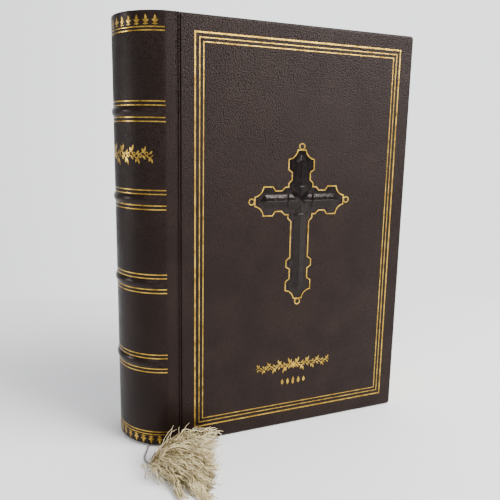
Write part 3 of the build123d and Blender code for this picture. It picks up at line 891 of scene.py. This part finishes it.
STROKE_SECTION = ((-1.0, -0.04), (-1.0, 0.02), (0.0, 0.05), (1.0, 0.02), (1.0, -0.04))
PETAL_STEPS = 8
BOW_STEPS = 14
STEPS_IN_WAVE = 14
ROSETTE_PETALS = 8

# Leaves of a palmette: lean in degrees, lift of the foot, length, width, curl in degrees
PALMETTE_LOBES = ((0.0, 0.9, 2.95, 1.1, 0.0), (36.0, 0.85, 1.75, 0.72, 12.0), (62.0, 0.25, 1.15, 0.42, 24.0))
PALMETTE_STEM = 1.4


def stroke(surface, place, path, widths):
    """One stroke of gold leaf along a flat path, with a width at each point."""
    rings = []
    for index, (point, width) in enumerate(zip(path, widths)):
        square = across(path, index) * (width / 2.0)
        ring = []
        for side, out in STROKE_SECTION:
            ring.append(place(point[0] + square.x * side, point[1] + square.y * side, out))
        rings.append(ring)
    surface.loft(rings)


def petal(surface, place, base, angle, length, width, curl=0.0):
    """Drop-shaped stroke; angle is in degrees, and curl bends it sideways by its tip."""
    path = []
    widths = []
    for step in range(PETAL_STEPS + 1):
        share = step / PETAL_STEPS
        heading = math.radians(angle + curl * share)
        along = base[0] + math.cos(heading) * length * share
        path.append((along, base[1] + math.sin(heading) * length * share))
        widths.append(width * (0.12 + 0.88 * math.sin(math.pi * share ** 0.8)))
    stroke(surface, place, path, widths)


def bow(surface, place, centre, radius, start, end, width):
    """Part of a circle, from one angle to another, in degrees."""
    path = []
    for step in range(BOW_STEPS + 1):
        angle = math.radians(start + (end - start) * step / BOW_STEPS)
        path.append((centre[0] + radius * math.cos(angle), centre[1] + radius * math.sin(angle)))
    stroke(surface, place, path, [width] * len(path))


def palmette(surface, place, base, up):
    """Small palmette: a middle leaf on a stem and two curling pairs beside it; up is 1 or -1."""
    for lean, lift, length, width, curl in PALMETTE_LOBES:
        for side in (1.0, -1.0) if lean else (1.0,):
            start = (base[0], base[1] + lift * up)
            petal(surface, place, start, up * (90.0 - side * lean), length, width, -side * curl * up)
    stroke(surface, place, [base, (base[0], base[1] + PALMETTE_STEM * up)], [0.5, 0.42])


def palmette_rows():
    surface = Surface()
    for number in range(1, PALMETTE_GAPS):
        along = -ARC_END + PALMETTE_PITCH * number
        palmette(surface, on_spine, (along, PALMETTE_HEAD), 1)
        palmette(surface, on_spine, (along, PALMETTE_TAIL), -1)
    return surface.piece("palmette_tooling", GOLD)


def vine(surface, place, centre, half_width, rise, waves, stem, leaf):
    """Two mirrored tendrils with leaves, growing from a rosette in the middle."""
    steps = STEPS_IN_WAVE * waves
    for side in (-1.0, 1.0):
        path = []
        for step in range(steps + 1):
            share = step / steps
            up = rise * math.sin(share * waves * math.pi) * (1.0 - 0.4 * share)
            path.append((centre[0] + side * half_width * share, centre[1] + up))
        stroke(surface, place, path, [stem * (1.0 - 0.6 * step / steps) for step in range(steps + 1)])
        for number in range(waves):
            share = (number + 0.5) / waves
            up = 1.0 if number % 2 == 0 else -1.0
            fade = 1.0 - 0.35 * share
            crest = (centre[0] + side * half_width * share, centre[1] + up * rise * (1.0 - 0.4 * share))
            outward = 90.0 - side * 90.0
            for lean, length in ((38.0, 1.0), (80.0, 0.62)):
                angle = outward + side * up * lean
                curl = side * up * 24.0
                petal(surface, place, crest, angle, leaf * length * fade, leaf * 0.34 * fade, curl)
            inner = (crest[0], centre[1] - up * rise * 0.1)
            petal(surface, place, inner, outward - side * up * 52.0, leaf * 0.72 * fade, leaf * 0.28 * fade)
            eye = (crest[0] - side * leaf * 0.35, crest[1] - up * leaf * 0.34)
            bow(surface, place, eye, leaf * 0.2, 0.0, 300.0, stem * 0.7)
    for number in range(ROSETTE_PETALS):
        petal(surface, place, centre, 360.0 / ROSETTE_PETALS * number, leaf * 0.62, leaf * 0.25)


def spine_ornament():
    surface = Surface()
    middle = (0.0, SPINE_ORNAMENT_Z)
    vine(surface, on_spine, middle, SPINE_ORNAMENT_HALF, rise=1.6, waves=8, stem=0.62, leaf=3.9)
    return surface.piece("spine_tooled_vine", GOLD)


def cover_ornament():
    """Tendril under the cross, and a short row of lozenges below it."""
    surface = Surface()
    middle = (COVER_MIDDLE_X, FLOURISH_Z)
    vine(surface, on_cover, middle, FLOURISH_HALF, rise=1.1, waves=7, stem=0.5, leaf=3.1)
    for number in range(-2, 3):
        centre_x = COVER_MIDDLE_X + number * LOZENGE_PITCH
        height = LOZENGE_HEIGHT - 0.5 * abs(number)
        petal(surface, on_cover, (centre_x, SMALL_ROW_Z - height / 2.0), 90.0, height, LOZENGE_WIDTH)
    return surface.piece("cover_tooled_tendril", GOLD)


# Cross relief ---------------------------------------------------------------------------------

RELIEF_LOW, RELIEF_HIGH = [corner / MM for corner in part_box("cross_relief")]
RELIEF_X = (RELIEF_LOW.x + RELIEF_HIGH.x) / 2.0
RELIEF_RIDGE = -RELIEF_LOW.y
CROSSING_Z = 109.0
RELIEF_FACE = MIDDLE_Y - HALF
BOSS_HALF = 4.6
BOSS_RISE = 0.5
BOSS_DEPTH = 0.6
BOSS_TIP = 0.12
ARRIS_RADIUS = 0.17
COLLAR_RADIUS = 0.5
COLLAR_AWAY = 6.3
COLLAR_PROFILE = ((-3.0, -0.25), (-1.5, 0.12), (0.0, 0.37), (1.5, 0.12), (3.0, -0.25))
ARMS = (((-17.6, 0.0), (17.6, 0.0)), ((0.0, -39.4), (0.0, 17.6)))


def relief_details():
    """Four-sided boss where the bars cross, fine beads along their ridges, and a collar across each bar."""
    surface = Surface()
    rings = []
    for half, y in ((BOSS_HALF, -RELIEF_RIDGE + BOSS_DEPTH), (BOSS_TIP, -RELIEF_RIDGE - BOSS_RISE)):
        corners = ((-half, -half), (half, -half), (half, half), (-half, half))
        rings.append([Vector((RELIEF_X + x, y, CROSSING_Z + z)) for x, z in corners])
    surface.loft(rings)
    for arm in ARMS:
        ends = [Vector((RELIEF_X + x, -RELIEF_RIDGE, CROSSING_Z + z)) for x, z in arm]
        surface.loft(tube_rings(ends, [ARRIS_RADIUS] * 2, 8))
    for turn in range(4):
        outward = Vector((math.cos(turn * math.pi / 2.0), 0.0, math.sin(turn * math.pi / 2.0)))
        sideways = Vector((-outward.z, 0.0, outward.x))
        middle = Vector((RELIEF_X, RELIEF_FACE, CROSSING_Z)) + outward * COLLAR_AWAY
        path = [middle + sideways * over - Vector((0.0, out, 0.0)) for over, out in COLLAR_PROFILE]
        surface.loft(tube_rings(path, [COLLAR_RADIUS] * len(path), 10))
    return surface.piece("cross_relief_boss", RELIEF, 30.0)


# Hinge grooves --------------------------------------------------------------------------------

GROOVE_STEPS = 18


def joint_skin(name, hinge, side):
    """Leather that dips into the hinge groove."""
    surface = Surface()
    faces = ((GROOVE_RADIUS, (SPINE_BOTTOM, SPINE_TOP)), (JOINT_OUTER, (SPINE_TOP, SPINE_BOTTOM)))
    rings = []
    for step in range(GROOVE_STEPS + 1):
        angle = math.pi * step / GROOVE_STEPS
        flat = Vector((-math.cos(angle), -side * math.sin(angle), 0.0))
        ring = []
        for radius, ends in faces:
            ring += [Vector((hinge.x, hinge.y, z)) + flat * radius for z in ends]
        rings.append(ring)
    surface.loft(rings)
    return surface.piece(name, COVER_LEATHER)


# Floor and light ------------------------------------------------------------------------------

# Floor in metres; its edge is a place in millimetres and a level direction away from the viewer
FLOOR_HALF = 4.0
FLOOR_DROP = 0.00002
EDGE_SOFTNESS = 0.015
TABLE_EDGE = Vector((-94.0, 260.0, 0.0))
TABLE_BACK = Vector((0.336, 0.942, 0.0))

# Room: its colour, its strength behind and before the book, and where between the two it turns
ROOM_COLOUR = (0.93, 0.94, 0.97)
ROOM_BEHIND = 2.2
ROOM_BEFORE = 0.4
ROOM_BRIGHT_SIDE = (0.82, 0.57, 0.0)
ROOM_TURN = (-0.25, 0.95)


def make_floor():
    """Pale surface that ends in a soft line behind the book."""
    mesh = bpy.data.meshes.new("floor")
    square = ((-1, -1), (1, -1), (1, 1), (-1, 1))
    corners = [(x * FLOOR_HALF, y * FLOOR_HALF, -FLOOR_DROP) for x, y in square]
    mesh.from_pydata(corners, [], [(0, 1, 2, 3)])
    floor = bpy.data.objects.new("floor", mesh)
    bpy.context.scene.collection.objects.link(floor)
    finish = Finish("floor", (0.88, 0.88, 0.89), 0.6)
    distance = finish.tree.nodes.new("ShaderNodeVectorMath")
    distance.operation = "DOT_PRODUCT"
    distance.inputs[1].default_value = TABLE_BACK
    finish.link(finish.places.outputs["Object"], distance.inputs[0])
    edge = metres(TABLE_EDGE).dot(TABLE_BACK)
    near_edge = (edge - EDGE_SOFTNESS, edge + EDGE_SOFTNESS)
    shown = finish.spread(distance.outputs["Value"], *near_edge, 1.0, 0.0)
    finish.link(shown, finish.shader.inputs["Alpha"])
    finish.shader.inputs["Specular IOR Level"].default_value = 0.2
    mesh.materials.append(finish.material)


def area_light(name, place, target, width, height, power, colour=(1.0, 1.0, 1.0)):
    data = bpy.data.lights.new(name, "AREA")
    data.shape = "RECTANGLE"
    data.size = width
    data.size_y = height
    data.energy = power
    data.color = colour
    light = bpy.data.objects.new(name, data)
    bpy.context.scene.collection.objects.link(light)
    aim = (Vector(target) - Vector(place)).to_track_quat("-Z", "Y")
    light.matrix_world = Matrix.Translation(Vector(place)) @ aim.to_matrix().to_4x4()


def make_room():
    """Pale room, brighter behind the book than before it."""
    world = bpy.data.worlds.new("studio")
    world.use_nodes = True
    tree = world.node_tree
    background = tree.nodes["Background"]
    background.inputs["Color"].default_value = (*ROOM_COLOUR, 1.0)
    places = tree.nodes.new("ShaderNodeTexCoord")
    toward = tree.nodes.new("ShaderNodeVectorMath")
    toward.operation = "DOT_PRODUCT"
    toward.inputs[1].default_value = ROOM_BRIGHT_SIDE
    level = tree.nodes.new("ShaderNodeMapRange")
    level.interpolation_type = "SMOOTHSTEP"
    level.inputs["From Min"].default_value = ROOM_TURN[0]
    level.inputs["From Max"].default_value = ROOM_TURN[1]
    level.inputs["To Min"].default_value = ROOM_BEFORE
    level.inputs["To Max"].default_value = ROOM_BEHIND
    tree.links.new(places.outputs["Generated"], toward.inputs[0])
    tree.links.new(toward.outputs["Value"], level.inputs["Value"])
    tree.links.new(level.outputs["Result"], background.inputs["Strength"])
    bpy.context.scene.world = world


def make_light():
    """Two soft lamps, and three narrow ones that draw the highlights. Places in metres."""
    middle = (0.0, 0.0, 0.09)
    area_light("key", (0.75, -0.75, 1.0), middle, 0.9, 0.9, 40.0, (1.0, 0.99, 0.97))
    area_light("fill", (-0.9, -0.9, 0.8), middle, 0.8, 0.8, 6.0)
    area_light("side_window", (-1.0, 0.29, 0.24), (-0.06, 0.0, 0.15), 0.10, 0.28, 3.6)
    area_light("low_front", (0.24, -0.98, 0.46), (-0.01, -0.021, 0.14), 0.35, 0.12, 3.5)
    area_light("strip", (0.56, -0.80, 0.44), (0.011, -0.021, 0.112), 0.40, 0.10, 5.0)


# Everything together --------------------------------------------------------------------------


def give(piece, body="text_block", nodes=()):
    """Put a piece on a body, and hide the CAD nodes that it takes the place of."""
    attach(piece, body)
    if nodes:
        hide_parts(*nodes)
    return piece


def paint(material, *names):
    """Give CAD nodes a material."""
    for name in names:
        mesh = frame["nodes"][name].data
        mesh.materials.clear()
        mesh.materials.append(material)


def paint_frame():
    paint(COVER_LEATHER, "front_cover_leather", "back_cover_leather")
    paint(GOLD, "front_gilt_frames", "back_gilt_frames", "cross_gilt_outline")
    paint(RELIEF, "cross_relief")
    paint(BOARD, "front_board", "back_board", "spine_inlay")
    paint(ENDPAPER_BACK, "front_pastedown", "back_flyleaf")
    paint(ENDPAPER_FRONT, "back_pastedown", "front_flyleaf")
    paint(LEAVES, "title_leaf", "last_leaf")
    paint(LINING, "spine_lining")
    paint(TAPE, "sewing_tapes", "raised_band_cores")
    paint(ENDBAND, "head_band", "tail_band")
    paint(CORD_SILK, "bookmark_inner_run")
    paint(LEAVES, *[name for name in frame["nodes"] if name.startswith("signature_")])


def add_bookmark():
    """Cord and tassel; the cord is built round the smooth line that it follows."""
    line = cord_centreline()
    cord = give(bookmark_cord(line), "bookmark", ["bookmark_cord"])
    fringe, folds = tassel(MIDDLE_Y - HALF - TASSEL_GAP)
    fringe = give(fringe.piece("tassel_fringe", TASSEL_SILK), "bookmark", ["tassel_skirt"])
    folds = give(folds.piece("tassel_folds", TASSEL_SILK), "bookmark", ["tassel_head"])
    length = sum((second - first).length for first, second in zip(line, line[1:])) * MM
    tuple(metres(CORD_ROUTE[0]))


def add_hinge_grooves():
    """Joint skins in the grooves between the spine and each cover."""
    for name, hinge, side, body in (
        ("front_joint", FRONT_HINGE, -1.0, "front_cover"),
        ("back_joint", BACK_HINGE, 1.0, "back_cover"),
    ):
        skin = joint_skin(name + "_skin", hinge, side)
        start = metres((hinge.x - JOINT_OUTER, hinge.y, 0.0))
        end = metres((hinge.x + JOINT_OUTER, hinge.y, 0.0))
        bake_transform(skin)
        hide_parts(name + "_leather")


def build():
    make_camera()
    add_bookmark()
    give(spine_leather(), nodes=["spine_leather"])
    give(spine_lines(), nodes=["spine_gilt_lines"])
    give(palmette_rows())
    give(spine_ornament())
    give(cover_ornament(), "front_cover")
    give(relief_details(), "front_cover")
    add_hinge_grooves()
    paint_frame()
    make_floor()
    make_room()
    make_light()


build()
